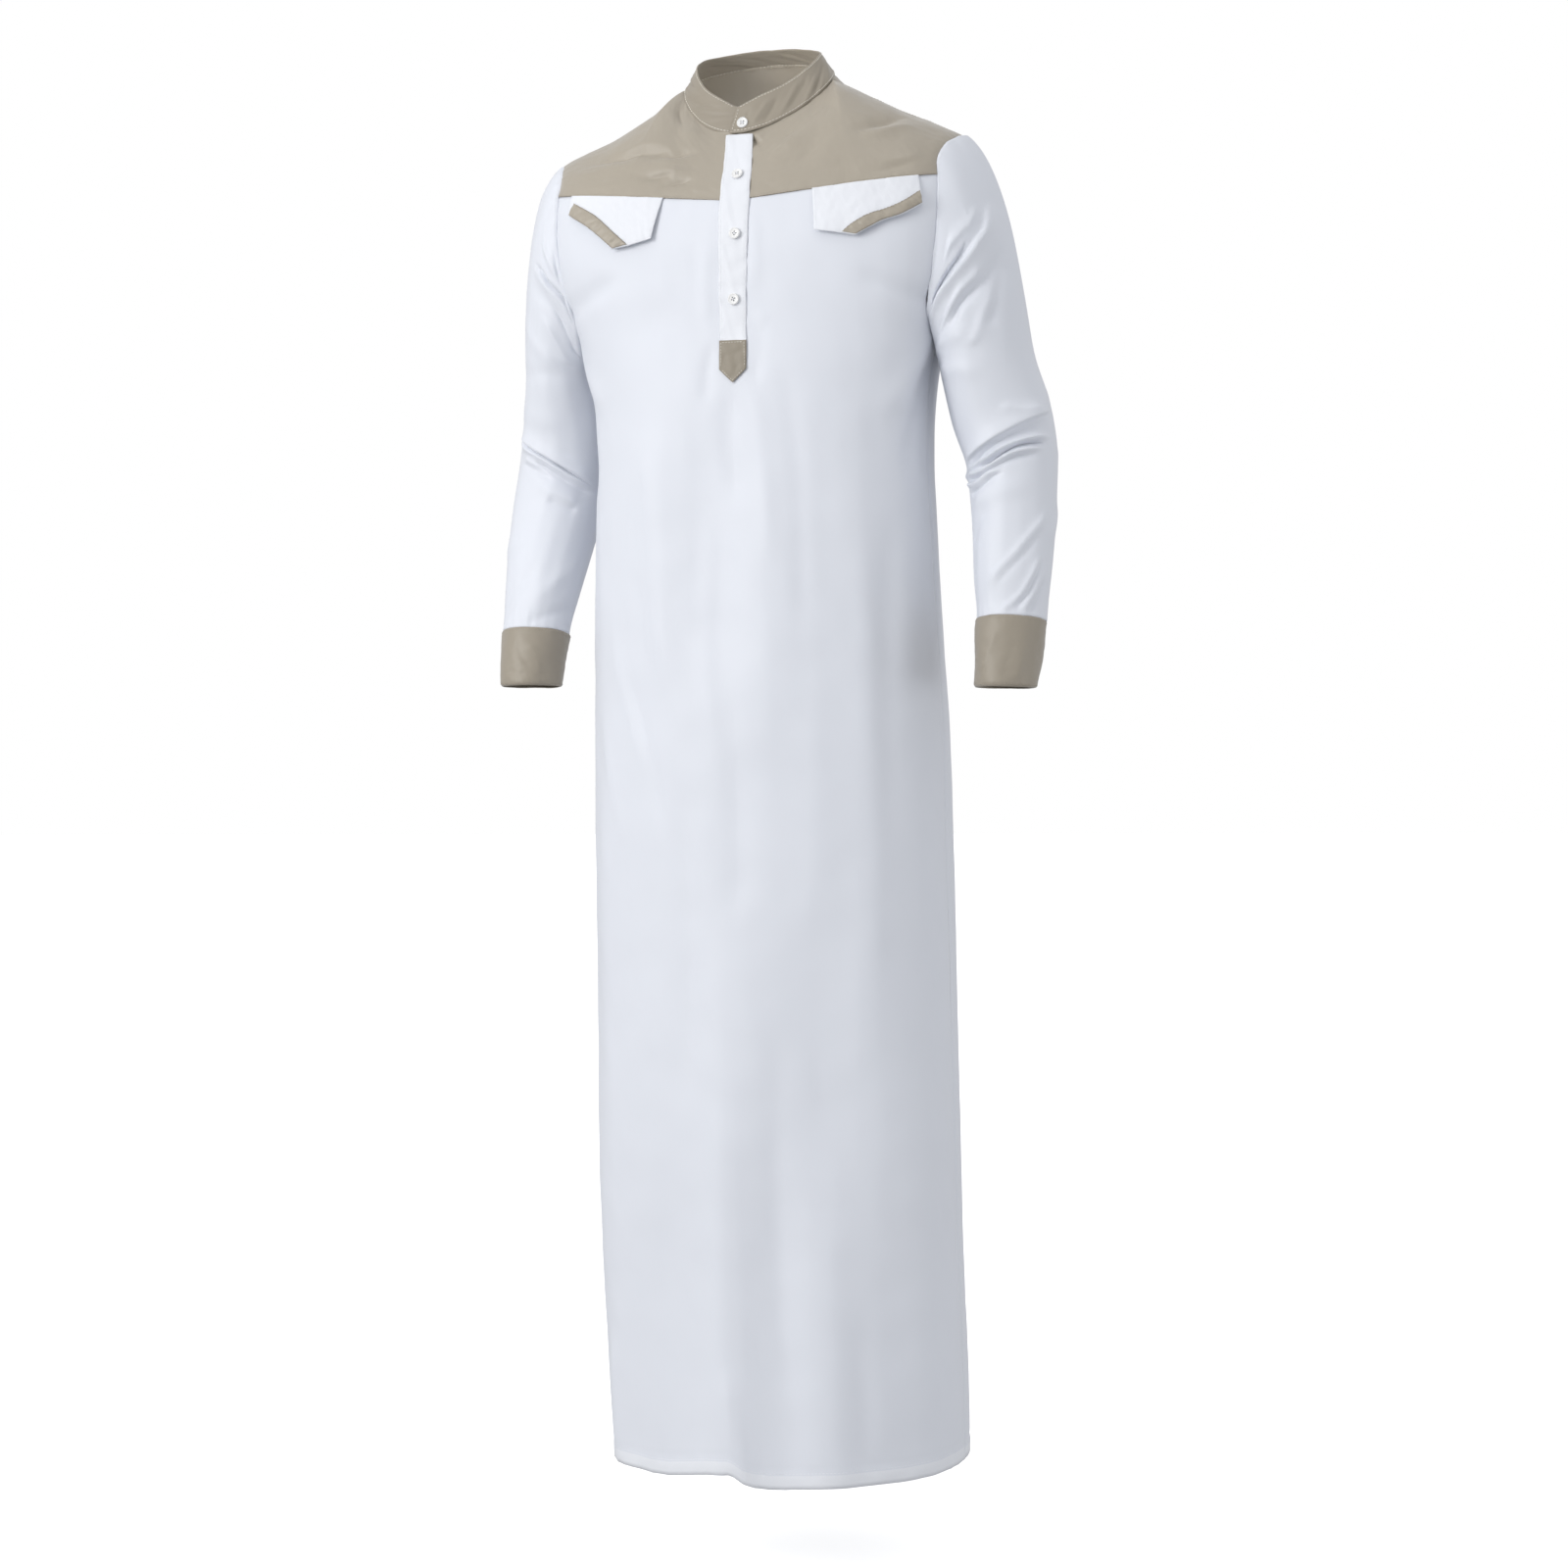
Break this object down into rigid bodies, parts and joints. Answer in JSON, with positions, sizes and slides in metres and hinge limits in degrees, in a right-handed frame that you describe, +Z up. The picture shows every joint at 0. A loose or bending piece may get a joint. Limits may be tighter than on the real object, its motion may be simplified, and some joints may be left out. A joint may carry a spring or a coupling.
{
  "type": "thobe robe",
  "caption": "Long thobe robe with band collar, shoulder yoke, button placket, slanted pocket flaps and cuffed sleeves, in its hollow worn shape.",
  "frame": {"origin": "midway between the two neck side points, where the wearer's shoulders carry the robe", "axes": "+Z up the robe from hem to collar, -Y the way its front faces, +X the wearer's left"},
  "size_m": [0.5861, 0.3497, 1.4383],
  "materials": {
    "white_cloth": "smooth fine weave with a soft sheen",
    "tan_cloth": "smooth fine weave with a soft sheen",
    "button": "polished pearl white"
  },
  "bodies": {
    "root": {"front_body": "white_cloth", "back_body": "white_cloth", "placket": "white_cloth", "placket_under": "white_cloth", "sleeve_left": "white_cloth", "sleeve_right": "white_cloth", "pocket_flap_left": "white_cloth", "pocket_flap_right": "white_cloth", "yoke_front_left": "tan_cloth", "yoke_front_right": "tan_cloth", "yoke_back": "tan_cloth", "collar": "tan_cloth", "cuff_left": "tan_cloth", "cuff_right": "tan_cloth", "flap_trim_left": "tan_cloth", "flap_trim_right": "tan_cloth", "placket_tab": "tan_cloth", "button_collar": "button", "button_1": "button", "button_2": "button", "button_3": "button"}
  },
  "joints": []
}
